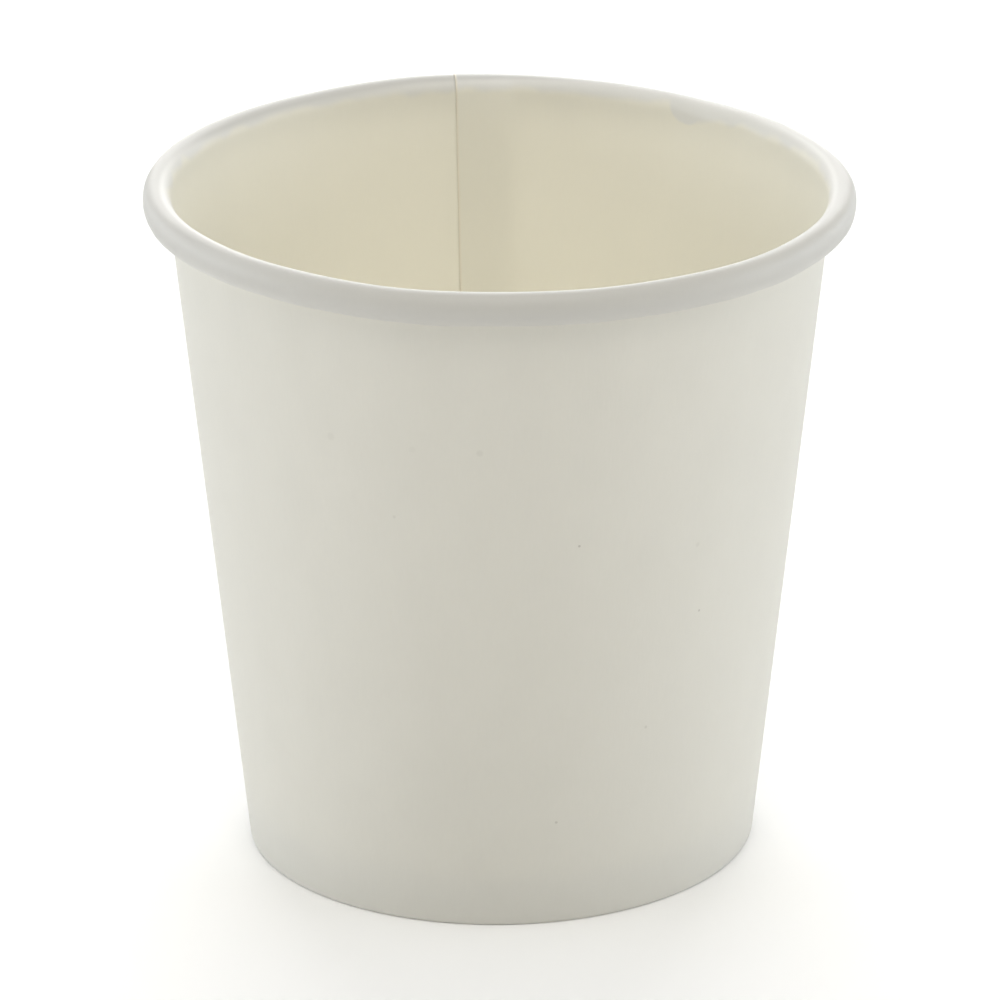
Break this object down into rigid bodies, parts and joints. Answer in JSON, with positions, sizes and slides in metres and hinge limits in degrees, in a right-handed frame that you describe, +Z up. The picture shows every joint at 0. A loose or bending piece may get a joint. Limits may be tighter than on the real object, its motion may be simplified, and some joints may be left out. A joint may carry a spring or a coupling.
{
  "type": "paper cup",
  "caption": "Small tapered drinking cup of coated paperboard, with a rolled rim, a lapped side seam and a recessed base inside a folded foot.",
  "frame": {"origin": "on the cup's axis, on the surface that the foot stands on", "axes": "+Z up along the cup's axis; +Y towards the back, where the side seam is; -Y towards the viewer of the picture"},
  "size_m": [0.062, 0.062, 0.0605],
  "materials": {
    "sidewall_board": "matt white coated board outside, satin film over cream board inside",
    "base_board": "satin film over cream board"
  },
  "bodies": {
    "root": {"sidewall": "sidewall_board", "base": "base_board"}
  },
  "joints": []
}
